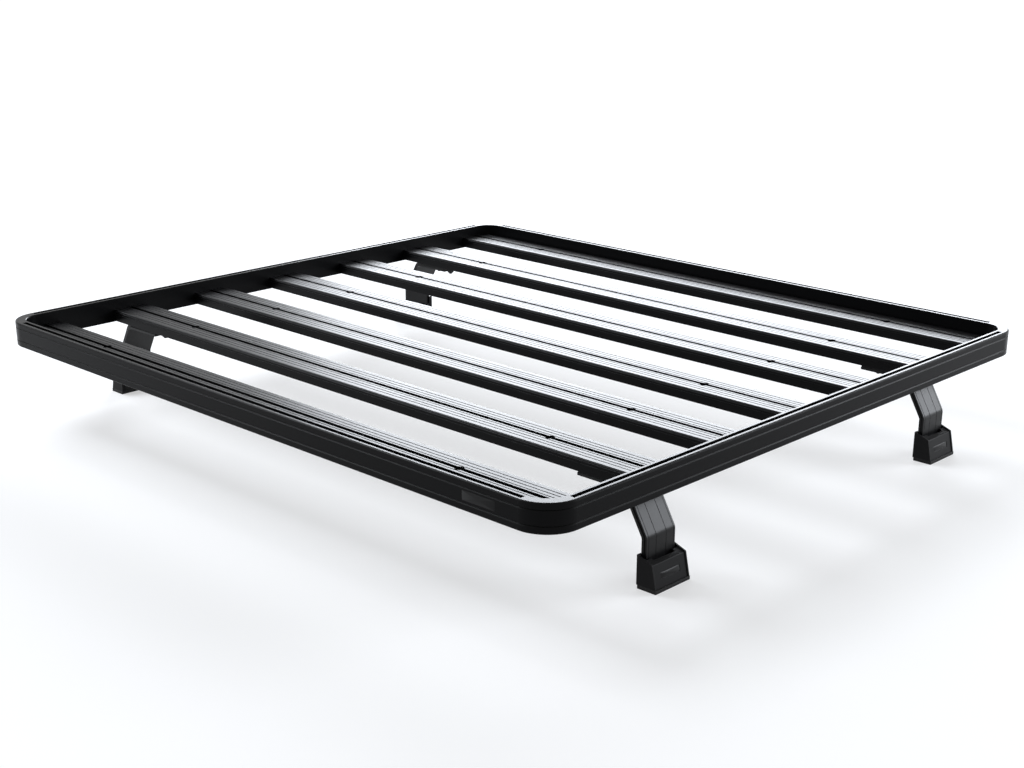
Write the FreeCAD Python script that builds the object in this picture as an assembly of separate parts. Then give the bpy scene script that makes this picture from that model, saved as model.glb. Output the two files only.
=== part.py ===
import FreeCAD, Part
import math
import os

from FreeCAD import Vector

# Flat load rack for a pickup bed: a tray of slotted, ribbed slats inside a rounded rim,
# standing on four bent legs with covered feet. Millimetres.
# X runs along the slats, Y from the front rail to the rear rail, Z up from the ground under the feet.

# Tray
TRAY_WIDTH = 1475.0
TRAY_LENGTH = 1358.0
STAND_HEIGHT = 156.0
RAIL_HEIGHT = 48.0
RAIL_WIDTH = 21.0
RAIL_WALL = 2.5
CORNER_RADIUS = 60.0
RIM_OUTER_ROUND = 3.0
RIM_ROUND_STEPS = 3
RIM_CHAMFER = 1.0
FACE_GROOVE_EDGE = 11.6
FACE_GROOVE_WIDTH = 3.0
FACE_GROOVE_DEPTH = 1.3
RAIL_PLATE_INSET = 140.0
RAIL_PLATE_LENGTH = 68.0
RAIL_PLATE_HEIGHT = 16.0
RAIL_PLATE_DEPTH = 0.6

# Accessory slots in the rim and the slats
SLOT_WIDTH = 9.0
SLOT_LIP = 3.0
SLOT_CHANNEL_WIDTH = 14.0
SLOT_CHANNEL_HEIGHT = 6.0
RIM_SLOT_INSET = 11.0

# Slats
SLAT_COUNT = 7
SLAT_WIDTH = 82.0
SLAT_HEIGHT = 22.2
SLAT_DROP = 22.7
SLAT_END_GAP = 11.0
SLAT_WALL = 2.8
SLAT_EDGE_ROUND = 3.0
SLAT_LEDGE = 1.0
SIDE_GROOVE_DROP = 7.7
SIDE_GROOVE_WIDTH = 1.0
SIDE_GROOVE_DEPTH = 0.6
RIB_GROOVE_COUNT = 3
RIB_EDGE_LAND = 9.4
RIB_GROOVE_WIDTH = 2.4
RIB_GROOVE_DEPTH = 1.0
NOTCH_INSET = 253.5
NOTCH_DIAMETER = 16.0
CORNER_FIT = 0.3

# Legs
LEG_SLATS = {"front": 2, "rear": 6}
LEG_WIDTH = 72.0
LEG_THICKNESS = 9.0
LEG_INSET = 19.5
LEG_PLATE_LENGTH = 98.8
LEG_SLANT_RUN = 43.5
LEG_SLANT_DROP = 75.0
LEG_BEND_RADIUS = 18.0
LEG_LEDGE_WIDTH = 1.7
LEG_LEDGE_DEPTH = 4.5
LEG_GROOVE_OFFSET = 12.0
LEG_EDGE_GROOVE_INSET = 6.0
LEG_GROOVE_WIDTH = 1.2
LEG_GROOVE_DEPTH = 0.4

# Fasteners
BOLT_DIAMETER = 8.0
BOLT_CLEARANCE = 0.5
BOLT_HEAD_ACROSS = 13.0
BOLT_HEAD_HEIGHT = 5.3
NUT_HEIGHT = 12.6
PLATE_BOLT_INSET = 17.0
PLATE_BOLT_SPACING = 39.0
FOOT_BOLT_HEIGHT = 32.0
FOOT_BOLT_SPACING = 44.0

# Feet
FOOT_WIDTH = 84.0
FOOT_DEPTH = 38.0
FOOT_TOP_DEPTH = 29.5
FOOT_BACK_REACH = 3.5
FOOT_BACK_HEIGHT = 56.0
FOOT_FRONT_HEIGHT = 45.5
FOOT_PAD_THICKNESS = 2.0
FOOT_PLATE_THICKNESS = 4.0
FOOT_PLATE_PROUD = 1.0
FOOT_PLATE_BACK_STEP = 2.0
FOOT_TAB_WIDTH = 64.0
FOOT_TAB_HEIGHT = 36.0
FOOT_TAB_THICKNESS = 4.0
COVER_WALL = 3.0
COVER_PANEL_RECESS = 1.5
COVER_EDGE_ROUND = 1.2
COVER_LEG_GAP = 2.0
COVER_RETURN_WIDTH = 6.0
COVER_RETURN_GAP = 0.5
COVER_NOTCH_WIDTH = 50.0
COVER_NOTCH_DEPTH = 6.0
LABEL_WIDTH = 48.0
LABEL_HEIGHT = 10.0
LABEL_ROUND = 2.5
LABEL_DEPTH = 0.8
LABEL_RISE = 24.0

# Worked-out places
HALF_WIDTH = TRAY_WIDTH / 2
HALF_LENGTH = TRAY_LENGTH / 2
SLAT_BASE = STAND_HEIGHT + RAIL_HEIGHT - SLAT_DROP - SLAT_HEIGHT
RIB_GROOVE_PITCH = (SLAT_WIDTH / 2 - SLAT_LEDGE - SLAT_EDGE_ROUND - RIB_EDGE_LAND) / RIB_GROOVE_COUNT
SLAT_REACH = HALF_WIDTH - RAIL_WIDTH
SLAT_PITCH = (TRAY_LENGTH - 2 * (RAIL_WIDTH + SLAT_END_GAP) - SLAT_WIDTH) / (SLAT_COUNT - 1)
LEG_FACE = HALF_WIDTH - LEG_INSET
LEG_BACK = LEG_FACE - LEG_THICKNESS
LEG_PLATE_END = LEG_FACE - LEG_SLANT_RUN - LEG_PLATE_LENGTH
FOOT_BACK = LEG_BACK - FOOT_BACK_REACH
FOOT_PLATE_TOP = FOOT_PAD_THICKNESS + FOOT_PLATE_THICKNESS
BOLT_HOLE = BOLT_DIAMETER + 2 * BOLT_CLEARANCE
EPS = 0.01


def slat_centre(number):
    """Y of a slat's centre line, counted from 1 at the front."""
    return (number - (SLAT_COUNT + 1) / 2) * SLAT_PITCH


def across(point_a, point_b):
    """Unit vector from one point to another."""
    return (point_b - point_a).normalize()


def rounded_edges(points, radii, closed):
    """Straight edges through the points, with a tangent arc of the given radius at each one."""
    count = len(points)
    edges = []
    ends = []
    for i, (point, radius) in enumerate(zip(points, radii)):
        is_end = not closed and i in (0, count - 1)
        if radius <= 0 or is_end:
            ends.append((point, point))
            continue
        back = across(point, points[i - 1])
        ahead = across(point, points[(i + 1) % count])
        half_angle = back.getAngle(ahead) / 2
        reach = radius / math.tan(half_angle)
        start = point + back * reach
        finish = point + ahead * reach
        middle = point + (back + ahead).normalize() * (radius / math.sin(half_angle) - radius)
        edges.append((i, Part.Arc(start, middle, finish).toShape()))
        ends.append((start, finish))
    for i in range(count if closed else count - 1):
        start = ends[i][1]
        finish = ends[(i + 1) % count][0]
        if start.distanceToPoint(finish) > EPS / 10:
            edges.append((i + 0.5, Part.makeLine(start, finish)))
    return [edge for order, edge in sorted(edges, key=lambda item: item[0])]


def face_of(corners, place):
    """Flat face inside (a, b, radius) corners; place turns (a, b) into a point in space."""
    points = [place(corner[0], corner[1]) for corner in corners]
    radii = [corner[2] for corner in corners]
    return Part.Face(Part.Wire(rounded_edges(points, radii, True)))


def box(low, high):
    """Block between two opposite corners."""
    size = Vector(*high) - Vector(*low)
    return Part.makeBox(size.x, size.y, size.z, Vector(*low))


def mirrored_left(shape):
    """The same piece on the left side of the rack."""
    return shape.mirror(Vector(0, 0, 0), Vector(1, 0, 0))


def slot_corners(centre, top, neck, lip, channel, height):
    """Corners of a T-shaped slot that opens upwards, from its left lip round to its right lip."""
    half_neck = neck / 2
    half_channel = channel / 2
    return [
        (centre - half_neck, top, 0),
        (centre - half_neck, top - lip, 0),
        (centre - half_channel, top - lip, 0),
        (centre - half_channel, top - lip - height, 0),
        (centre + half_channel, top - lip - height, 0),
        (centre + half_channel, top - lip, 0),
        (centre + half_neck, top - lip, 0),
        (centre + half_neck, top, 0),
    ]


def face_groove(height):
    """Corners of a V groove in the rail's outer face, from its upper lip to its lower lip."""
    half = FACE_GROOVE_WIDTH / 2
    return [(0, height + half, 0), (FACE_GROOVE_DEPTH, height, 0), (0, height - half, 0)]


def rail_corners(slotted):
    """Rim section as (distance in from the outer face, height), with or without its top slot."""
    upper = RAIL_HEIGHT - FACE_GROOVE_EDGE
    outline = face_groove(upper)
    outline += face_groove(FACE_GROOVE_EDGE)
    outline += [(0, RIM_CHAMFER, 0), (RIM_CHAMFER, 0, 0)]
    outline += [(RAIL_WIDTH - RIM_CHAMFER, 0, 0), (RAIL_WIDTH, RIM_CHAMFER, 0)]
    outline += [(RAIL_WIDTH, RAIL_HEIGHT - RIM_CHAMFER, 0), (RAIL_WIDTH - RIM_CHAMFER, RAIL_HEIGHT, 0)]
    if slotted:
        outline += reversed(slot_corners(RIM_SLOT_INSET, RAIL_HEIGHT, SLOT_WIDTH, SLOT_LIP,
                                         SLOT_CHANNEL_WIDTH, SLOT_CHANNEL_HEIGHT))
    for i in range(RIM_ROUND_STEPS + 1):
        turn = math.pi / 2 * i / RIM_ROUND_STEPS
        inward = RIM_OUTER_ROUND * (1 - math.sin(turn))
        drop = RIM_OUTER_ROUND * (1 - math.cos(turn))
        outline += [(inward, RAIL_HEIGHT - drop, 0)]
    return outline


def rail(start, direction, inward, length):
    """One straight rim rail: a hollow extrusion with an accessory slot along its top."""
    def place(depth, height):
        return start + inward * depth + Vector(0, 0, height)

    chamber_top = RAIL_HEIGHT - SLOT_LIP - SLOT_CHANNEL_HEIGHT - RAIL_WALL
    outer_wall = RAIL_WALL + FACE_GROOVE_DEPTH
    chamber = [
        (outer_wall, RAIL_WALL, 0),
        (RAIL_WIDTH - RAIL_WALL, RAIL_WALL, 0),
        (RAIL_WIDTH - RAIL_WALL, chamber_top, 0),
        (outer_wall, chamber_top, 0),
    ]
    body = face_of(rail_corners(True), place).extrude(direction * length)
    return body.cut(face_of(chamber, place).extrude(direction * length))


def plate_pocket():
    """Shallow pocket in the front rail's face, between its grooves, for a thin blank plate."""
    middle = HALF_WIDTH - RAIL_PLATE_INSET
    low = STAND_HEIGHT + (RAIL_HEIGHT - RAIL_PLATE_HEIGHT) / 2
    return box((middle - RAIL_PLATE_LENGTH / 2, -HALF_LENGTH, low),
               (middle + RAIL_PLATE_LENGTH / 2, -HALF_LENGTH + RAIL_PLATE_DEPTH, low + RAIL_PLATE_HEIGHT))


def rails():
    """The four straight rails between the corner pieces."""
    run_x = TRAY_WIDTH - 2 * CORNER_RADIUS
    run_y = TRAY_LENGTH - 2 * CORNER_RADIUS
    along_x = Vector(1, 0, 0)
    along_y = Vector(0, 1, 0)
    left_end = -HALF_WIDTH + CORNER_RADIUS
    front_end = -HALF_LENGTH + CORNER_RADIUS
    front = rail(Vector(left_end, -HALF_LENGTH, STAND_HEIGHT), along_x, along_y, run_x)
    return {
        "front_rail": front.cut(plate_pocket()),
        "rear_rail": rail(Vector(left_end, HALF_LENGTH, STAND_HEIGHT), along_x, -along_y, run_x),
        "left_rail": rail(Vector(-HALF_WIDTH, front_end, STAND_HEIGHT), along_y, along_x, run_y),
        "right_rail": rail(Vector(HALF_WIDTH, front_end, STAND_HEIGHT), along_y, -along_x, run_y),
    }


def corners():
    """Quarter-round corner pieces with the rim's outer face and a closed top."""
    def place(depth, height):
        return Vector(CORNER_RADIUS - depth, 0, height)

    section = face_of(rail_corners(False), place)
    quarter = section.revolve(Vector(0, 0, 0), Vector(0, 0, 1), 90)
    turns = {"rear_right": (1, 1, 0), "rear_left": (-1, 1, 90),
             "front_left": (-1, -1, 180), "front_right": (1, -1, 270)}
    made = {}
    for name, (side, end, turn) in turns.items():
        piece = quarter.copy()
        piece.rotate(Vector(0, 0, 0), Vector(0, 0, 1), turn)
        piece.translate(Vector(side * (HALF_WIDTH - CORNER_RADIUS),
                               end * (HALF_LENGTH - CORNER_RADIUS), STAND_HEIGHT))
        made["corner_" + name] = piece
    return made


def rib_groove(centre):
    """Corners of one V groove in a slat's top, left to right."""
    half = RIB_GROOVE_WIDTH / 2
    return [(centre - half, SLAT_HEIGHT, 0), (centre, SLAT_HEIGHT - RIB_GROOVE_DEPTH, 0),
            (centre + half, SLAT_HEIGHT, 0)]


def slat_edge(side):
    """Corners of a slat's edge from its foot up: side with a fine groove, rounded ledge, rounded top."""
    half = SLAT_WIDTH / 2
    shoulder = SLAT_HEIGHT - SLAT_EDGE_ROUND
    groove = SLAT_HEIGHT - SIDE_GROOVE_DROP
    return [
        (side * half, 0, 0),
        (side * half, groove - SIDE_GROOVE_WIDTH / 2, 0),
        (side * (half - SIDE_GROOVE_DEPTH), groove, 0),
        (side * half, groove + SIDE_GROOVE_WIDTH / 2, 0),
        (side * half, shoulder, SLAT_LEDGE - EPS),
        (side * (half - SLAT_LEDGE), shoulder, 0),
        (side * (half - SLAT_LEDGE), SLAT_HEIGHT, SLAT_EDGE_ROUND - EPS),
    ]


def slat_corners():
    """Slat section as (across, height): ribbed top, rounded edges over a ledge, slots above and below."""
    offsets = [RIB_GROOVE_PITCH * (i + 1) for i in range(RIB_GROOVE_COUNT)]
    top = slat_edge(-1)
    for offset in reversed(offsets):
        top += rib_groove(-offset)
    top += slot_corners(0, SLAT_HEIGHT, SLOT_WIDTH, SLOT_LIP, SLOT_CHANNEL_WIDTH, SLOT_CHANNEL_HEIGHT)
    for offset in offsets:
        top += rib_groove(offset)
    below = slot_corners(0, 0, BOLT_HOLE, -SLOT_LIP, SLOT_CHANNEL_WIDTH, -SLOT_CHANNEL_HEIGHT)
    return top + list(reversed(slat_edge(1))) + list(reversed(below))


def slat_chamber(side):
    """Corners of the hollow between a slat's slot and one of its edges."""
    near = side * (SLOT_CHANNEL_WIDTH / 2 + SLAT_WALL)
    far = side * (SLAT_WIDTH / 2 - SLAT_LEDGE - SLAT_EDGE_ROUND)
    roof = SLAT_HEIGHT - RIB_GROOVE_DEPTH - SLAT_WALL
    return [(near, SLAT_WALL, 0), (far, SLAT_WALL, 0), (far, roof, 0), (near, roof, 0)]


def corner_clearance(side, end):
    """What a slat loses near a rim corner: all that lies outside the corner piece's inner wall."""
    centre = Vector(side * (HALF_WIDTH - CORNER_RADIUS), end * (HALF_LENGTH - CORNER_RADIUS), STAND_HEIGHT)
    reach = Vector(side * CORNER_RADIUS, end * CORNER_RADIUS, RAIL_HEIGHT)
    low = [min(centre[i], centre[i] + reach[i]) for i in range(3)]
    high = [max(centre[i], centre[i] + reach[i]) for i in range(3)]
    inner_wall = CORNER_RADIUS - RAIL_WIDTH - CORNER_FIT
    return box(low, high).cut(Part.makeCylinder(inner_wall, RAIL_HEIGHT, centre))


def slat(number):
    """One slat, a hollow extrusion from side rail to side rail with two bolt notches in its top slot."""
    centre = slat_centre(number)

    def place(offset, height):
        return Vector(-SLAT_REACH, centre + offset, SLAT_BASE + height)

    length = Vector(2 * SLAT_REACH, 0, 0)
    body = face_of(slat_corners(), place).extrude(length)
    for side in (-1, 1):
        body = body.cut(face_of(slat_chamber(side), place).extrude(length))
        notch_base = SLAT_BASE + SLAT_HEIGHT - SLOT_LIP
        notch_at = Vector(side * (HALF_WIDTH - NOTCH_INSET), centre, notch_base)
        body = body.cut(Part.makeCylinder(NOTCH_DIAMETER / 2, 2 * SLOT_LIP, notch_at))
        if abs(centre) + SLAT_WIDTH / 2 > HALF_LENGTH - CORNER_RADIUS:
            body = body.cut(corner_clearance(side, math.copysign(1, centre)))
    return body


def leg_skin(depth):
    """The right leg's side line at a depth under its outer face: plate, slant, then upright, as edges."""
    bend = math.atan2(LEG_SLANT_RUN, LEG_SLANT_DROP)
    upper_turn = math.pi / 2 - bend
    upper_x = LEG_FACE - LEG_SLANT_RUN - depth * math.tan(upper_turn / 2)
    lower_z = SLAT_BASE - LEG_SLANT_DROP - depth * math.tan(bend / 2)
    points = [
        Vector(LEG_PLATE_END, 0, SLAT_BASE - depth),
        Vector(upper_x, 0, SLAT_BASE - depth),
        Vector(LEG_FACE - depth, 0, lower_z),
        Vector(LEG_FACE - depth, 0, FOOT_PLATE_TOP),
    ]
    radius = LEG_BEND_RADIUS - depth
    return rounded_edges(points, [0, radius, radius, 0], False), points[0], points[-1]


def leg_band(outer_depth, inner_depth, low_y, high_y):
    """Solid strip of the right leg between two depths and two places across its width."""
    outer, outer_start, outer_end = leg_skin(outer_depth)
    inner, inner_start, inner_end = leg_skin(inner_depth)
    edges = outer + [Part.makeLine(outer_end, inner_end)] + inner + [Part.makeLine(inner_start, outer_start)]
    band = Part.Face(Part.Wire(Part.__sortEdges__(edges))).extrude(Vector(0, high_y - low_y, 0))
    band.translate(Vector(0, low_y, 0))
    return band


def plate_bolt_places():
    """X of the bolts that hold a right leg's plate under its slat."""
    first = LEG_PLATE_END + PLATE_BOLT_INSET
    return [first, first + PLATE_BOLT_SPACING]


def foot_bolt_places():
    """Y of the bolts that hold a leg in its foot, from the leg's centre line."""
    return [-FOOT_BOLT_SPACING / 2, FOOT_BOLT_SPACING / 2]


def leg():
    """Right leg about Y = 0: a flat strap with grooved face and stepped edges, bent twice."""
    half = LEG_WIDTH / 2
    body = leg_band(0, LEG_THICKNESS, -half, half)
    for side in (-1, 1):
        edge = sorted([side * (half - LEG_LEDGE_WIDTH), side * half])
        body = body.cut(leg_band(0, LEG_LEDGE_DEPTH, *edge))
        for offset in (LEG_GROOVE_OFFSET, half - LEG_EDGE_GROOVE_INSET):
            low = side * offset - LEG_GROOVE_WIDTH / 2
            body = body.cut(leg_band(0, LEG_GROOVE_DEPTH, low, low + LEG_GROOVE_WIDTH))
    for x in plate_bolt_places():
        at = Vector(x, 0, SLAT_BASE - 2 * LEG_THICKNESS)
        body = body.cut(Part.makeCylinder(BOLT_HOLE / 2, 3 * LEG_THICKNESS, at))
    for y in foot_bolt_places():
        at = Vector(LEG_BACK - LEG_THICKNESS, y, FOOT_BOLT_HEIGHT)
        body = body.cut(Part.makeCylinder(BOLT_HOLE / 2, 3 * LEG_THICKNESS, at, Vector(1, 0, 0)))
    return body


def hexagon(height):
    """Six-sided prism standing on the origin, with two flats across X."""
    radius = BOLT_HEAD_ACROSS / 2 / math.cos(math.pi / 6)
    ring = [Vector(radius * math.cos(math.radians(60 * i + 30)),
                   radius * math.sin(math.radians(60 * i + 30)), 0) for i in range(6)]
    return Part.Face(Part.makePolygon(ring + ring[:1])).extrude(Vector(0, 0, height))


def bolt(grip):
    """Bolt with its cap nut, pointing down: the head sits on Z = 0 and clamps what is grip thick."""
    shank = Part.makeCylinder(BOLT_DIAMETER / 2, grip, Vector(0, 0, -grip))
    nut = hexagon(NUT_HEIGHT)
    nut.translate(Vector(0, 0, -grip - NUT_HEIGHT))
    return shank.fuse([hexagon(BOLT_HEAD_HEIGHT), nut]).removeSplitter()


def plate_bolts():
    """The two bolts that hang a right leg's plate from its slat's lower slot, about Y = 0."""
    made = []
    for x in plate_bolt_places():
        piece = bolt(SLOT_LIP + LEG_THICKNESS)
        piece.translate(Vector(x, 0, SLAT_BASE + SLOT_LIP))
        made.append(piece)
    return Part.makeCompound(made)


def foot_bolts():
    """The two bolts through a right foot's tab and leg, nuts on the inner side, about Y = 0."""
    made = []
    for y in foot_bolt_places():
        piece = bolt(FOOT_TAB_THICKNESS + LEG_THICKNESS)
        piece.rotate(Vector(0, 0, 0), Vector(0, 1, 0), 90)
        piece.translate(Vector(LEG_FACE + FOOT_TAB_THICKNESS, y, FOOT_BOLT_HEIGHT))
        made.append(piece)
    return Part.makeCompound(made)


def foot_plate():
    """Right foot's plate about Y = 0, with the upright tab that the leg is bolted to."""
    half = FOOT_WIDTH / 2
    front = FOOT_BACK + FOOT_DEPTH + FOOT_PLATE_PROUD
    base = box((FOOT_BACK + FOOT_PLATE_BACK_STEP, -half, FOOT_PAD_THICKNESS), (front, half, FOOT_PLATE_TOP))
    tab = box((LEG_FACE, -FOOT_TAB_WIDTH / 2, FOOT_PAD_THICKNESS),
              (LEG_FACE + FOOT_TAB_THICKNESS, FOOT_TAB_WIDTH / 2, FOOT_PLATE_TOP + FOOT_TAB_HEIGHT))
    body = base.fuse(tab).removeSplitter()
    for y in foot_bolt_places():
        at = Vector(LEG_FACE - FOOT_TAB_THICKNESS, y, FOOT_BOLT_HEIGHT)
        body = body.cut(Part.makeCylinder(BOLT_HOLE / 2, 3 * FOOT_TAB_THICKNESS, at, Vector(1, 0, 0)))
    return body


def foot_pad():
    """Right foot's rubber pad about Y = 0, under the plate."""
    half = FOOT_WIDTH / 2
    front = FOOT_BACK + FOOT_DEPTH + FOOT_PLATE_PROUD
    return box((FOOT_BACK + FOOT_PLATE_BACK_STEP, -half, 0), (front, half, FOOT_PAD_THICKNESS))


def cover_front(height, inset):
    """X of the cover's slanted front at a height, moved in by an inset."""
    rise = FOOT_FRONT_HEIGHT - FOOT_PLATE_TOP
    lean = (FOOT_DEPTH - FOOT_TOP_DEPTH) * (height - FOOT_PLATE_TOP) / rise
    return FOOT_BACK + FOOT_DEPTH - lean - inset


def cover_prism(inset, low_y, high_y, floor):
    """Block with the cover's side outline, moved in by an inset at its front and top."""
    top_front = FOOT_FRONT_HEIGHT - inset
    side = [
        (FOOT_BACK, floor, 0),
        (cover_front(floor, inset), floor, 0),
        (cover_front(top_front, inset), top_front, COVER_EDGE_ROUND),
        (FOOT_BACK, FOOT_BACK_HEIGHT - inset, 0),
    ]
    return face_of(side, lambda x, z: Vector(x, low_y, z)).extrude(Vector(0, high_y - low_y, 0))


def label_recess():
    """Shallow round-cornered pocket in the cover's front panel, about Y = 0, left blank."""
    half = LABEL_WIDTH / 2
    low = LABEL_RISE - LABEL_HEIGHT / 2
    high = LABEL_RISE + LABEL_HEIGHT / 2
    outline = [(-half, low, LABEL_ROUND), (half, low, LABEL_ROUND),
               (half, high, LABEL_ROUND), (-half, high, LABEL_ROUND)]
    through = face_of(outline, lambda y, z: Vector(LEG_FACE, y, z)).extrude(Vector(FOOT_DEPTH, 0, 0))
    surface = cover_prism(COVER_PANEL_RECESS, -half, half, FOOT_PLATE_TOP)
    floor = cover_prism(COVER_PANEL_RECESS + LABEL_DEPTH, -half, half, FOOT_PLATE_TOP)
    return surface.cut(floor).common(through)


def cover_returns():
    """Narrow flanges that close the cover's back on both sides, just behind the leg, about Y = 0."""
    inner = FOOT_WIDTH / 2 - COVER_WALL
    front = LEG_BACK - COVER_RETURN_GAP
    middle = inner - COVER_RETURN_WIDTH
    behind = box((FOOT_BACK, -inner, FOOT_PLATE_TOP), (front, inner, FOOT_BACK_HEIGHT))
    between = box((FOOT_BACK, -middle, FOOT_PLATE_TOP), (front, middle, FOOT_BACK_HEIGHT))
    return cover_prism(0, -inner, inner, FOOT_PLATE_TOP).common(behind).cut(between)


def foot_cover():
    """Right foot's cover about Y = 0: a shell open below and behind, round the leg's lower end."""
    half = FOOT_WIDTH / 2
    inner = half - COVER_WALL
    body = cover_prism(0, -half, half, FOOT_PLATE_TOP)
    body = body.cut(cover_prism(COVER_PANEL_RECESS + COVER_WALL, -inner, inner, FOOT_PLATE_TOP))
    opening = box((FOOT_BACK, -inner, FOOT_PLATE_TOP),
                  (LEG_FACE + COVER_LEG_GAP, inner, FOOT_BACK_HEIGHT + EPS))
    notch_front = LEG_FACE + COVER_LEG_GAP + COVER_NOTCH_DEPTH
    notch_half = COVER_NOTCH_WIDTH / 2
    notch = box((LEG_FACE, -notch_half, FOOT_FRONT_HEIGHT - COVER_WALL),
                (notch_front, notch_half, FOOT_BACK_HEIGHT))
    recess = cover_prism(0, -inner, inner, FOOT_PLATE_TOP).cut(
        cover_prism(COVER_PANEL_RECESS, -inner, inner, FOOT_PLATE_TOP))
    shell = body.cut(opening).cut(notch).cut(recess).cut(label_recess())
    return shell.fuse(cover_returns()).removeSplitter()


def place_feet(made):
    """Legs, feet and their bolts: made once on the right, set under two slats and mirrored to the left."""
    pieces = {"leg": leg(), "plate_bolts": plate_bolts(), "foot_bolts": foot_bolts(),
              "foot_plate": foot_plate(), "foot_pad": foot_pad(), "foot_cover": foot_cover()}
    for name, piece in pieces.items():
        for end, number in LEG_SLATS.items():
            right = piece.copy()
            right.translate(Vector(0, slat_centre(number), 0))
            made[f"{name}_{end}_right"] = right
            made[f"{name}_{end}_left"] = mirrored_left(right)


def main():
    made = {}
    made.update(rails())
    made.update(corners())
    for number in range(1, SLAT_COUNT + 1):
        made[f"slat_{number}"] = slat(number)
    place_feet(made)
    os.makedirs("parts", exist_ok=True)
    for name, shape in made.items():
        shape.exportStep(f"parts/{name}.step")


main()
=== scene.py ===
import math

import bmesh
import bpy
import numpy as np
from mathutils import Matrix, Vector


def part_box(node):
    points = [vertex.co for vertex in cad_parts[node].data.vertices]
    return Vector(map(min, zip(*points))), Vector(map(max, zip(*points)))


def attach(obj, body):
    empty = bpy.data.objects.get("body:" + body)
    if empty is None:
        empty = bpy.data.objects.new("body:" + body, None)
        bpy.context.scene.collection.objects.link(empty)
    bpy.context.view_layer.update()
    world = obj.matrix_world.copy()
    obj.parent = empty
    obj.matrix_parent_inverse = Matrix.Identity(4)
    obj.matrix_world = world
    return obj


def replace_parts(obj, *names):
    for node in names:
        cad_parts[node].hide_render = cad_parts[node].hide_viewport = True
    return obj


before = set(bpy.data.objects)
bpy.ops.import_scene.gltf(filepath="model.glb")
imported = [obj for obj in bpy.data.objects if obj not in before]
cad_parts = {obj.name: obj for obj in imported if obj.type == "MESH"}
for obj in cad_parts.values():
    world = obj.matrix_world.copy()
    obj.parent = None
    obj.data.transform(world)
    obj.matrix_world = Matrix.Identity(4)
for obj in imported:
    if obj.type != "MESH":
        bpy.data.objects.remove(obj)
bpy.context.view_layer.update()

# Sizes of the fittings, in metres
MM = 0.001
LEG_THICKNESS = 9.0 * MM
BOLT_DIAMETER = 8.0 * MM
THREAD_PITCH = 1.25 * MM
THREAD_DEPTH = 0.45 * MM
HEX_ACROSS = 13.0 * MM
HEX_CHAMFER = 0.9 * MM
NUT_HEIGHT = 8.0 * MM
HEAD_HEIGHT = 5.3 * MM
WASHER_RADIUS = 8.0 * MM
WASHER_THICKNESS = 1.6 * MM
TIP_LENGTH = 3.0 * MM
PLATE_GRIP = 12.0 * MM
FOOT_GRIP = 13.0 * MM

# Steps and shares of the new surfaces
TURN_STEPS = 72
THREAD_STEPS = 48
THREAD_ROWS = 49
ROUND_STEPS = 64
FACE_SHARE = 0.96
TIP_TAPER = 1.6
RIM_SHARE = 0.4
RIM_STEP = 0.3
WASHER_LIP = WASHER_THICKNESS / 5
WELD = 0.002 * MM

# The slanted panel of a foot's cover and its label, in metres
PANEL_LEAN = 8.5 * MM
PANEL_RISE = 39.5 * MM
LABEL_RISE = 18.0 * MM
LABEL_FLOOR = 2.3 * MM
LABEL_HALF_WIDTH = 23.6 * MM
LABEL_HALF_HEIGHT = 4.7 * MM
LABEL_ROUND = 2.2 * MM
LABEL_THICKNESS = 0.5 * MM

# The blank plate on the front rail, in metres
RAIL_PLATE_INSET = 140.0 * MM
RAIL_PLATE_HALF_LENGTH = 33.8 * MM
RAIL_PLATE_HALF_HEIGHT = 7.8 * MM
RAIL_PLATE_ROUND = 0.8 * MM
RAIL_PLATE_FLOOR = 0.6 * MM
RAIL_PLATE_THICKNESS = 0.45 * MM

# Finishes, as linear colours
COAT_BLACK = (0.0030, 0.0030, 0.0033)
COAT_RUBBED = (0.014, 0.014, 0.015)
PLASTIC_BLACK = (0.0040, 0.0040, 0.0043)
# Edge colour of the plastics, rubber and blank plates: partly scuffed wear, partly a painted highlight,
# lightened so that the foot covers' edges read bright
PLASTIC_RUBBED_AND_HIGHLIGHT = (0.045, 0.045, 0.047)
STEEL_BLACK = (0.0030, 0.0030, 0.0032)
RUBBER_BLACK = (0.0040, 0.0040, 0.0040)
ZINC_GREY = (0.028, 0.028, 0.030)
ZINC_RUBBED = (0.10, 0.10, 0.10)
PLATE_BLACK = (0.0045, 0.0045, 0.0048)
DUST = (0.20, 0.19, 0.18)
FLOOR_WHITE = (0.50, 0.50, 0.50)

# The camera's place and angles, and the lamps
CAMERA_PLACE = (2.1224, -2.1762, 1.0145)
CAMERA_AZIMUTH = math.radians(43.377)
CAMERA_ELEVATION = math.radians(20.070)
CAMERA_ROLL = math.radians(0.30)
CAMERA_LENS = 55.87
CAMERA_SENSOR = 36.0
CAMERA_SHIFT = (-0.0210, 0.0796)
LAMPS = {
    "low_back_softbox": {"place": (-4.45, 6.6, 2.75), "size": (5.8, 3.5), "watts": 960.0},
    "left_softbox": {"place": (-3.37, -0.84, 3.6), "size": (2.8, 1.9), "watts": 185.0},
    "front_left_softbox": {"place": (-5.1, -5.0, 3.4), "size": (3.2, 2.6), "watts": 220.0},
    "right_softbox": {"place": (3.5, 3.8, 1.7), "size": (3.2, 2.3), "watts": 260.0},
}
LAMP_AIM = Vector((0.0, 0.0, 0.15))
LAMP_TINT = (0.90, 0.94, 1.0)
AMBIENT = 0.12
FLOOR_REACH = 30.0
FLOOR_DROP = 0.2 * MM
FLOOR_GLOW = 0.5
GLOW_START = 1.2
GLOW_END = 4.5
OUTWARD = {"left": -1.0, "right": 1.0}
CORNERS = [(end, side) for end in ("front", "rear") for side in ("left", "right")]


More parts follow.
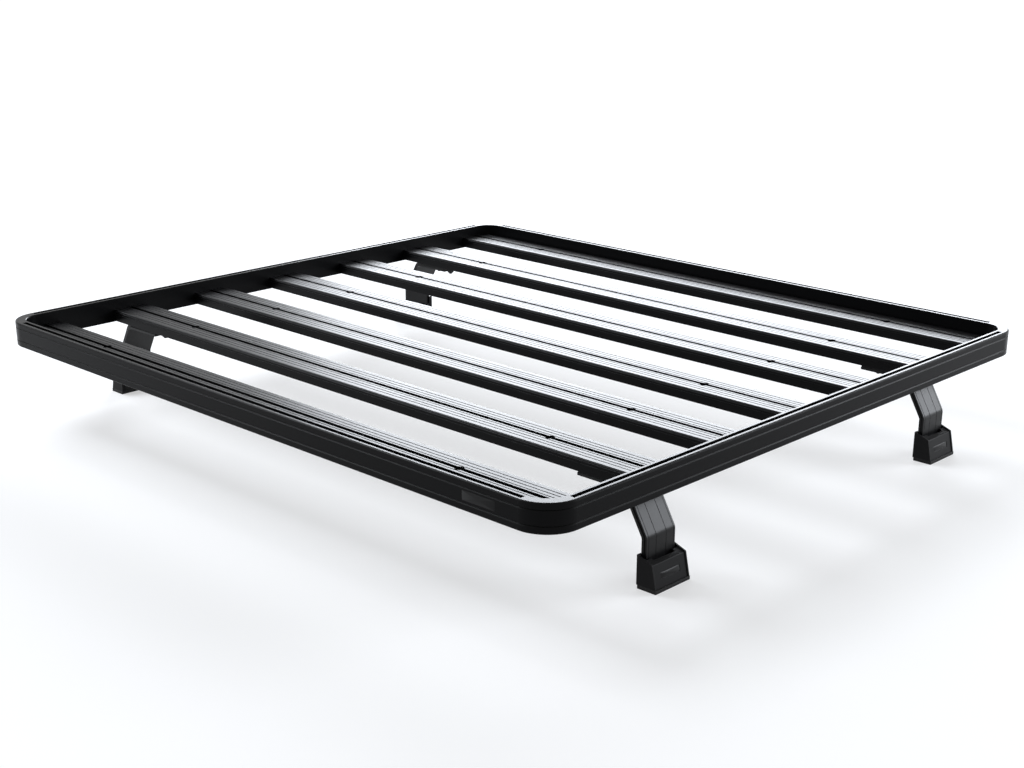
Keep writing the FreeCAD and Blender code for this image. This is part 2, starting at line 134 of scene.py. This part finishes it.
def lattice(grid, wrap_rows=False, wrap_columns=False):
    """Points and quads of a (rows, columns, 3) grid: each cell between neighbours is one quad."""
    rows, columns = grid.shape[:2]
    index = np.arange(rows * columns).reshape(rows, columns)
    if wrap_rows:
        index = np.concatenate([index, index[:1]], axis=0)
    if wrap_columns:
        index = np.concatenate([index, index[:, :1]], axis=1)
    quads = np.stack([index[:-1, :-1], index[:-1, 1:], index[1:, 1:], index[1:, :-1]], axis=-1)
    return grid.reshape(-1, 3), quads.reshape(-1, 4)


def piece(name, shells, material, sharp=35.0):
    """One object from closed shells of points and quads, merged at seams and poles, faces outwards."""
    starts = np.cumsum([0] + [len(points) for points, quads in shells[:-1]])
    points = np.concatenate([points for points, quads in shells])
    quads = np.concatenate([quads + start for (_, quads), start in zip(shells, starts)])
    mesh = bpy.data.meshes.new(name)
    mesh.from_pydata(points.tolist(), [], quads.tolist())
    work = bmesh.new()
    work.from_mesh(mesh)
    bmesh.ops.remove_doubles(work, verts=work.verts, dist=WELD)
    bmesh.ops.dissolve_degenerate(work, edges=work.edges, dist=WELD)
    bmesh.ops.recalc_face_normals(work, faces=work.faces)
    work.to_mesh(mesh)
    work.free()
    mesh.polygons.foreach_set("use_smooth", np.ones(len(mesh.polygons), dtype=bool))
    mesh.set_sharp_from_angle(angle=math.radians(sharp))
    made = bpy.data.objects.new(name, mesh)
    bpy.context.scene.collection.objects.link(made)
    mesh.materials.append(material)
    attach(made, "root")
    return made


def turned(profile, radius_limit=None, steps=TURN_STEPS):
    """A profile of (radius, height) points turned about the Z axis: x = r cos a, y = r sin a, z = h.

    radius_limit gives, for each angle, the most that the radius may be there.
    """
    angle = np.linspace(0, 2 * np.pi, steps, endpoint=False)
    radius = np.repeat(np.array(profile)[:, :1], steps, axis=1)
    if radius_limit is not None:
        radius = np.minimum(radius, radius_limit(angle)[None, :])
    height = np.repeat(np.array(profile)[:, 1:], steps, axis=1)
    grid = np.stack([radius * np.cos(angle), radius * np.sin(angle), height], axis=-1)
    return lattice(grid, wrap_columns=True)


def hexagon(angle):
    """Radius of a hexagon with two flats across X: half its width over the cosine from the next flat."""
    from_flat = (angle + np.pi / 6) % (np.pi / 3) - np.pi / 6
    return HEX_ACROSS / 2 / np.cos(from_flat)


def hexagon_prism(low, high):
    """Hexagon between two heights whose corners are cut by a shallow cone at both ends."""
    corner = HEX_ACROSS / math.sqrt(3)
    inner = HEX_ACROSS / 2
    profile = [(0, low), (inner * FACE_SHARE, low), (corner, low + HEX_CHAMFER),
               (corner, high - HEX_CHAMFER), (inner * FACE_SHARE, high), (0, high)]
    return turned(profile, hexagon)


def washer(top):
    """Flat ring under a nut, its rim rounded by three facets."""
    lip = WASHER_LIP
    low = top - WASHER_THICKNESS
    return turned([(0, low), (WASHER_RADIUS - lip, low), (WASHER_RADIUS, low + lip),
                   (WASHER_RADIUS, top - lip), (WASHER_RADIUS - lip, top), (0, top)])


def threaded_tip(top, length):
    """Screw thread: the radius goes up and down by the thread depth once each pitch, and the phase turns
    with the angle, so that the ridges climb as one helix; the end narrows to a flat."""
    angle = np.linspace(0, 2 * np.pi, THREAD_STEPS, endpoint=False)[None, :]
    along = np.linspace(0, length, THREAD_ROWS)[:, None]
    phase = (along / THREAD_PITCH + angle / (2 * np.pi)) % 1.0
    ridge = 1 - np.abs(2 * phase - 1)
    taper = np.clip((along - length + THREAD_PITCH) / THREAD_PITCH, 0, 1)
    radius = BOLT_DIAMETER / 2 - THREAD_DEPTH * np.maximum(1 - ridge, TIP_TAPER * taper)
    height = np.broadcast_to(top - along, radius.shape)
    wall = np.stack([radius * np.cos(angle), radius * np.sin(angle), height], axis=-1)
    ends = [np.broadcast_to(np.array([0, 0, z]), (1, THREAD_STEPS, 3)) for z in (top, top - length)]
    return lattice(np.concatenate([ends[0], wall, ends[1]]), wrap_columns=True)


def bolt_shells(grip):
    """A bolt that points down, the clamped face over its washer at height 0, as closed shells."""
    nut_top = -WASHER_THICKNESS
    nut_low = nut_top - NUT_HEIGHT
    return [washer(0.0), hexagon_prism(nut_low, nut_top), threaded_tip(nut_low, TIP_LENGTH),
            hexagon_prism(grip, grip + HEAD_HEIGHT)]


def set_at(shells, axes, place):
    """Shells with their X, Y and Z axes turned to three given directions and moved to a place."""
    turn = np.array(axes, dtype=float)
    return [(points @ turn + np.array(place), quads) for points, quads in shells]


def plate_bolts(end, side, material):
    """The two bolts under a leg's plate, at the places of the solids that they stand for."""
    node = f"plate_bolts_{end}_{side}"
    low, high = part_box(node)
    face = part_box(f"leg_{end}_{side}")[1].z - LEG_THICKNESS
    shells = []
    for x in (low.x + HEX_ACROSS / 2, high.x - HEX_ACROSS / 2):
        shells += set_at(bolt_shells(PLATE_GRIP), np.eye(3), (x, (low.y + high.y) / 2, face))
    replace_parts(piece(node + "_dressed", shells, material), node)


def foot_bolts(end, side, material):
    """The two bolts through a foot's tab, nuts inwards, at the places of the solids that they stand for."""
    node = f"foot_bolts_{end}_{side}"
    low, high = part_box(node)
    leg_low, leg_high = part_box(f"leg_{end}_{side}")
    outward = OUTWARD[side]
    face = (leg_high.x if side == "right" else leg_low.x) - outward * LEG_THICKNESS
    corner = HEX_ACROSS / math.sqrt(3)
    axes = [(0, 0, -outward), (0, 1, 0), (outward, 0, 0)]
    shells = []
    for y in (low.y + corner, high.y - corner):
        shells += set_at(bolt_shells(FOOT_GRIP), axes, (face, y, (low.z + high.z) / 2))
    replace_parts(piece(node + "_dressed", shells, material), node)


def rounded_plate(half_a, half_b, corner, thickness):
    """Thin plate on the plane of X and Y: its outline is a corner circle moved out to the four corners, and
    the rows shrink it to the middle, over a small rounded rim, and close it underneath."""
    angle = (np.arange(ROUND_STEPS) + 0.5) / ROUND_STEPS * 2 * np.pi
    rim = thickness * RIM_SHARE
    inset = np.array([np.inf, 0.0, 0.0, rim * RIM_STEP, rim, np.inf])
    height = np.array([0.0, 0.0, thickness - rim, thickness - rim * RIM_STEP, thickness, thickness])
    reach_a = np.maximum(half_a - np.minimum(inset, half_a) - corner, 0)[:, None]
    reach_b = np.maximum(half_b - np.minimum(inset, half_b) - corner, 0)[:, None]
    radius = np.where(np.isinf(inset), 0.0, corner)[:, None]
    x = np.sign(np.cos(angle)) * reach_a + radius * np.cos(angle)
    y = np.sign(np.sin(angle)) * reach_b + radius * np.sin(angle)
    grid = np.stack([x, y, np.broadcast_to(height[:, None], x.shape)], axis=-1)
    return [lattice(grid, wrap_columns=True)]


def foot_label(end, side, material):
    """Blank plate that lies in the shallow pocket of a foot cover's slanted front."""
    low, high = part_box(f"foot_cover_{end}_{side}")
    outward = OUTWARD[side]
    slope = math.hypot(PANEL_LEAN, PANEL_RISE)
    normal = np.array([outward * PANEL_RISE, 0, PANEL_LEAN]) / slope
    upward = np.array([-outward * PANEL_LEAN, 0, PANEL_RISE]) / slope
    sideways = np.cross(upward, normal)
    front = (high.x if side == "right" else low.x) - outward * LABEL_RISE * PANEL_LEAN / PANEL_RISE
    place = (front - outward * LABEL_FLOOR, (low.y + high.y) / 2, low.z + LABEL_RISE)
    plate = rounded_plate(LABEL_HALF_WIDTH, LABEL_HALF_HEIGHT, LABEL_ROUND, LABEL_THICKNESS)
    shells = set_at(plate, [sideways, upward, normal], place)
    piece(f"foot_label_{end}_{side}", shells, material)


def rail_plate(material):
    """Blank plate in the pocket of the front rail's face, near the right corner."""
    low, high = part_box("front_rail")
    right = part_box("right_rail")[1].x
    place = (right - RAIL_PLATE_INSET, low.y + RAIL_PLATE_FLOOR, (low.z + high.z) / 2)
    plate = rounded_plate(RAIL_PLATE_HALF_LENGTH, RAIL_PLATE_HALF_HEIGHT, RAIL_PLATE_ROUND,
                          RAIL_PLATE_THICKNESS)
    shells = set_at(plate, [(1, 0, 0), (0, 0, 1), (0, -1, 0)], place)
    piece("rail_plate", shells, material)


def add(tree, kind, **settings):
    """New shader node with its settings."""
    node = tree.nodes.new("ShaderNode" + kind)
    for key, value in settings.items():
        setattr(node, key, value)
    return node


def wire(tree, value, socket):
    """Link a socket to another, or set it to a plain value."""
    if isinstance(value, bpy.types.NodeSocket):
        tree.links.new(value, socket)
    else:
        socket.default_value = value


def worked(tree, operation, first, second, clamp=False):
    """What a Math node works out from two sockets or numbers."""
    node = add(tree, "Math", operation=operation, use_clamp=clamp)
    wire(tree, first, node.inputs[0])
    wire(tree, second, node.inputs[1])
    return node.outputs[0]


def noise(tree, scale, detail):
    """Noise on Object coordinates, as a value between 0 and 1."""
    node = add(tree, "TexNoise")
    tree.links.new(add(tree, "TexCoord").outputs["Object"], node.inputs["Vector"])
    wire(tree, scale, node.inputs["Scale"])
    node.inputs["Detail"].default_value = detail
    return node.outputs["Fac"]


def blended(tree, share, first, second):
    """Colour that goes from the first to the second with the share."""
    node = add(tree, "Mix", data_type="RGBA")
    wire(tree, share, node.inputs["Factor"])
    for value, socket in ((first, node.inputs["A"]), (second, node.inputs["B"])):
        wire(tree, value if isinstance(value, bpy.types.NodeSocket) else (*value, 1.0), socket)
    return node.outputs["Result"]


def group(name, inputs, outputs):
    """Empty shader group with named sockets, its input sockets and its output sockets."""
    tree = bpy.data.node_groups.new(name, "ShaderNodeTree")
    for label, value in inputs.items():
        tree.interface.new_socket(label, in_out="INPUT", socket_type="NodeSocketFloat").default_value = value
    for label, kind in outputs.items():
        tree.interface.new_socket(label, in_out="OUTPUT", socket_type="NodeSocket" + kind)
    return tree, tree.nodes.new("NodeGroupInput").outputs, tree.nodes.new("NodeGroupOutput").inputs


def coat_grain_group():
    """Skin of a sprayed or moulded surface: fine grain over a wider peel, and a slow drift of tone."""
    tree, given, out = group("coat_grain", {"Grain Scale": 2400.0, "Peel Scale": 420.0, "Peel Share": 0.5},
                             {"Height": "Float", "Drift": "Float"})
    grain = worked(tree, "MULTIPLY", noise(tree, given["Grain Scale"], 2.0),
                   worked(tree, "SUBTRACT", 1.0, given["Peel Share"]))
    peel = worked(tree, "MULTIPLY", noise(tree, given["Peel Scale"], 1.0), given["Peel Share"])
    wire(tree, worked(tree, "ADD", grain, peel), out["Height"])
    wire(tree, noise(tree, 9.0, 4.0), out["Drift"])
    return tree


def edge_wear_and_highlight_group():
    """Rounded normals near sharp edges, and a broken mask along such edges, for scuffed wear and, where the
    edge colour is lightened, a painted highlight.
    """
    tree, given, out = group("edge_wear_and_highlight", {"Radius": 0.6 * MM, "Break Scale": 160.0},
                             {"Normal": "Vector", "Rubbed And Highlight": "Float"})
    bevel = add(tree, "Bevel", samples=6)
    wire(tree, given["Radius"], bevel.inputs["Radius"])
    wire(tree, bevel.outputs["Normal"], out["Normal"])
    facing = add(tree, "VectorMath", operation="DOT_PRODUCT")
    wire(tree, bevel.outputs["Normal"], facing.inputs[0])
    wire(tree, add(tree, "NewGeometry").outputs["Normal"], facing.inputs[1])
    edge = worked(tree, "MULTIPLY", worked(tree, "SUBTRACT", 1.0, facing.outputs["Value"]), 3.0, clamp=True)
    wire(tree, worked(tree, "MULTIPLY", edge, noise(tree, given["Break Scale"], 3.0)), out["Rubbed And Highlight"])
    return tree


def dust_group():
    """Thin dust: a broken mask that is strongest where the surface looks up."""
    tree, given, out = group("settled_dust", {"Amount": 0.05, "Scale": 45.0}, {"Mask": "Float"})
    split = add(tree, "SeparateXYZ")
    wire(tree, add(tree, "NewGeometry").outputs["Normal"], split.inputs[0])
    upward = worked(tree, "MAXIMUM", split.outputs["Z"], 0.0)
    broken = worked(tree, "POWER", noise(tree, given["Scale"], 6.0), 2.0)
    settled = worked(tree, "MULTIPLY", upward, broken)
    wire(tree, worked(tree, "MULTIPLY", settled, given["Amount"]), out["Mask"])
    return tree


def place_group(tree, name, **values):
    """A shared group in a material, with its own values."""
    node = add(tree, "Group", node_tree=bpy.data.node_groups[name])
    for label, value in values.items():
        node.inputs[label.replace("_", " ")].default_value = value
    return node.outputs


def finish(name, colour, rubbed_and_highlight, roughness, spread, bump, grain, edge, dust, **constants):
    """A black finish: colour with lighter edges (scuffed wear, and a painted highlight where the edge colour
    is lightened) and dust, gloss that drifts, grain in its normals.
    """
    material = bpy.data.materials.new(name)
    material.use_nodes = True
    tree = material.node_tree
    shader = tree.nodes["Principled BSDF"]
    for label, value in constants.items():
        shader.inputs[label.replace("_", " ")].default_value = value
    skin = place_group(tree, "coat_grain", **grain)
    worn_and_highlit = place_group(tree, "edge_wear_and_highlight", **edge)
    film = place_group(tree, "settled_dust", **dust)
    # Lighter colour along the edges: scuffed wear, and on the plastics a painted highlight
    rubbed_and_highlight_colour = blended(tree, worn_and_highlit["Rubbed And Highlight"], colour, rubbed_and_highlight)
    wire(tree, blended(tree, film["Mask"], rubbed_and_highlight_colour, DUST), shader.inputs["Base Color"])
    drift = worked(tree, "MULTIPLY", worked(tree, "SUBTRACT", skin["Drift"], 0.5), spread)
    dull = worked(tree, "ADD", worked(tree, "ADD", drift, roughness), film["Mask"], clamp=True)
    wire(tree, dull, shader.inputs["Roughness"])
    relief = add(tree, "Bump")
    relief.inputs["Strength"].default_value = 1.0
    relief.inputs["Distance"].default_value = bump
    wire(tree, skin["Height"], relief.inputs["Height"])
    wire(tree, worn_and_highlit["Normal"], relief.inputs["Normal"])
    wire(tree, relief.outputs["Normal"], shader.inputs["Normal"])
    return material


def powder_coat():
    """Satin black powder coat of the rails, corners and slats."""
    return finish("powder_coat", COAT_BLACK, COAT_RUBBED, 0.31, 0.06, 0.008 * MM,
                  {"Grain_Scale": 2600.0, "Peel_Scale": 520.0, "Peel_Share": 0.6},
                  {"Radius": 0.4 * MM}, {"Amount": 0.004}, Specular_IOR_Level=0.065)


def strap_coat():
    """The legs' coat, a little harder and duller than the tray's."""
    return finish("strap_coat", COAT_BLACK, COAT_RUBBED, 0.36, 0.08, 0.010 * MM,
                  {"Grain_Scale": 2400.0, "Peel_Scale": 480.0, "Peel_Share": 0.5},
                  {"Radius": 0.5 * MM}, {"Amount": 0.004}, Specular_IOR_Level=0.18)


def cover_plastic():
    """Moulded black plastic with a fine even grain; its lighter edge colour paints a highlight along the
    covers' edges.
    """
    return finish("cover_plastic", PLASTIC_BLACK, PLASTIC_RUBBED_AND_HIGHLIGHT, 0.46, 0.08, 0.03 * MM,
                  {"Grain_Scale": 1900.0, "Peel_Scale": 700.0, "Peel_Share": 0.3},
                  {"Radius": 0.8 * MM}, {"Amount": 0.005}, Specular_IOR_Level=0.1)


def plate_steel():
    """Black painted steel of the foot plates."""
    return finish("plate_steel", STEEL_BLACK, COAT_RUBBED, 0.42, 0.10, 0.02 * MM,
                  {"Grain_Scale": 2100.0, "Peel_Scale": 380.0}, {"Radius": 0.5 * MM}, {"Amount": 0.015},
                  Specular_IOR_Level=0.2)


def pad_rubber():
    """Dull black rubber under the feet."""
    return finish("pad_rubber", RUBBER_BLACK, PLASTIC_RUBBED_AND_HIGHLIGHT, 0.78, 0.10, 0.05 * MM,
                  {"Grain_Scale": 1500.0, "Peel_Scale": 600.0, "Peel_Share": 0.2},
                  {"Radius": 0.4 * MM}, {"Amount": 0.03}, Specular_IOR_Level=0.15)


def black_zinc():
    """Black zinc plating of the bolts, scuffed bright on its corners."""
    return finish("black_zinc", ZINC_GREY, ZINC_RUBBED, 0.38, 0.16, 0.008 * MM,
                  {"Grain_Scale": 3200.0, "Peel_Scale": 900.0, "Peel_Share": 0.4},
                  {"Radius": 0.3 * MM}, {"Amount": 0.015}, Metallic=1.0)


def blank_plate():
    """Smooth satin black of the blank plates."""
    return finish("blank_plate", PLATE_BLACK, PLASTIC_RUBBED_AND_HIGHLIGHT, 0.30, 0.06, 0.004 * MM,
                  {"Grain_Scale": 2800.0, "Peel_Scale": 900.0}, {"Radius": 0.15 * MM}, {"Amount": 0.006},
                  Specular_IOR_Level=0.16)


def seen_directly(tree):
    """1 for rays that look from the camera, in a mirror or through glass, otherwise 0."""
    path = add(tree, "LightPath")
    mirrored = worked(tree, "MAXIMUM", path.outputs["Is Glossy Ray"], path.outputs["Is Transmission Ray"])
    return worked(tree, "MAXIMUM", path.outputs["Is Camera Ray"], mirrored)


def white_world():
    """White surroundings: full white where they are looked at, softer as light on the object."""
    world = bpy.data.worlds.new("surroundings")
    world.use_nodes = True
    bpy.context.scene.world = world
    tree = world.node_tree
    back = tree.nodes["Background"]
    back.inputs["Color"].default_value = (1.0, 1.0, 1.0, 1.0)
    lift = worked(tree, "MULTIPLY", seen_directly(tree), 1.0 - AMBIENT)
    wire(tree, worked(tree, "ADD", lift, AMBIENT), back.inputs["Strength"])


def pale_floor():
    """Wide pale floor just under the pads, lit by the lamps and lifted to white where it is looked at, more
    so far from the rack, where the lamps don't reach."""
    edge = np.array([-FLOOR_REACH, FLOOR_REACH])
    grid = np.stack([*np.meshgrid(edge, edge, indexing="ij"), np.full((2, 2), -FLOOR_DROP)], axis=-1)
    points, quads = lattice(grid)
    mesh = bpy.data.meshes.new("floor")
    mesh.from_pydata(points.tolist(), [], quads[:, ::-1].tolist())
    floor = bpy.data.objects.new("floor", mesh)
    bpy.context.scene.collection.objects.link(floor)
    material = bpy.data.materials.new("pale_floor")
    material.use_nodes = True
    tree = material.node_tree
    shader = tree.nodes["Principled BSDF"]
    shader.inputs["Base Color"].default_value = (*FLOOR_WHITE, 1.0)
    shader.inputs["Roughness"].default_value = 1.0
    shader.inputs["Specular IOR Level"].default_value = 0.0
    shader.inputs["Emission Color"].default_value = (1.0, 1.0, 1.0, 1.0)
    away = add(tree, "VectorMath", operation="LENGTH")
    wire(tree, add(tree, "TexCoord").outputs["Object"], away.inputs[0])
    fade = add(tree, "MapRange", interpolation_type="SMOOTHSTEP")
    limits = {"From Min": GLOW_START, "From Max": GLOW_END, "To Min": FLOOR_GLOW, "To Max": 1.0}
    for label, value in limits.items():
        fade.inputs[label].default_value = value
    wire(tree, away.outputs["Value"], fade.inputs["Value"])
    glow = worked(tree, "MULTIPLY", seen_directly(tree), fade.outputs["Result"])
    wire(tree, glow, shader.inputs["Emission Strength"])
    mesh.materials.append(material)


def lamps():
    """Soft lamps: a wide low one far behind the rack, a high one at its left, one at the front left for the
    rounded edges and one at its right for the legs."""
    for name, lamp in LAMPS.items():
        data = bpy.data.lights.new(name, "AREA")
        data.shape = "RECTANGLE"
        data.size, data.size_y = lamp["size"]
        data.energy = lamp["watts"]
        data.color = LAMP_TINT
        made = bpy.data.objects.new(name, data)
        made.location = lamp["place"]
        made.visible_camera = False
        made.rotation_euler = (LAMP_AIM - Vector(lamp["place"])).to_track_quat("-Z", "Y").to_euler()
        bpy.context.scene.collection.objects.link(made)


def camera():
    """Camera at the photograph's place: its level axes turned by azimuth, elevation and a small roll."""
    across = Vector((math.cos(CAMERA_AZIMUTH), math.sin(CAMERA_AZIMUTH), 0))
    ahead = Vector((-math.sin(CAMERA_AZIMUTH) * math.cos(CAMERA_ELEVATION),
                    math.cos(CAMERA_AZIMUTH) * math.cos(CAMERA_ELEVATION), -math.sin(CAMERA_ELEVATION)))
    above = across.cross(ahead)
    right = across * math.cos(CAMERA_ROLL) + above * math.sin(CAMERA_ROLL)
    up = above * math.cos(CAMERA_ROLL) - across * math.sin(CAMERA_ROLL)
    data = bpy.data.cameras.new("camera")
    data.lens = CAMERA_LENS
    data.sensor_width = CAMERA_SENSOR
    data.shift_x, data.shift_y = CAMERA_SHIFT
    made = bpy.data.objects.new("camera", data)
    made.matrix_world = Matrix.Translation(CAMERA_PLACE) @ Matrix((right, up, -ahead)).transposed().to_4x4()
    bpy.context.scene.collection.objects.link(made)
    bpy.context.scene.camera = made


def dress_nodes(finishes):
    """Each solid gets the finish of its kind."""
    for name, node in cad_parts.items():
        kind = next((kind for kind in finishes if name.startswith(kind)), "frame")
        node.data.materials.clear()
        node.data.materials.append(finishes[kind])


def main():
    """Dress the solids, add the fittings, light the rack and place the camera."""
    bpy.context.scene.view_settings.view_transform = "Standard"
    coat_grain_group()
    edge_wear_and_highlight_group()
    dust_group()
    bolts = black_zinc()
    blank = blank_plate()
    dress_nodes({"frame": powder_coat(), "leg": strap_coat(), "foot_cover": cover_plastic(),
                 "foot_plate": plate_steel(), "foot_pad": pad_rubber(), "plate_bolts": bolts,
                 "foot_bolts": bolts})
    for end, side in CORNERS:
        plate_bolts(end, side, bolts)
        foot_bolts(end, side, bolts)
        foot_label(end, side, blank)
    rail_plate(blank)
    white_world()
    pale_floor()
    lamps()
    camera()


main()
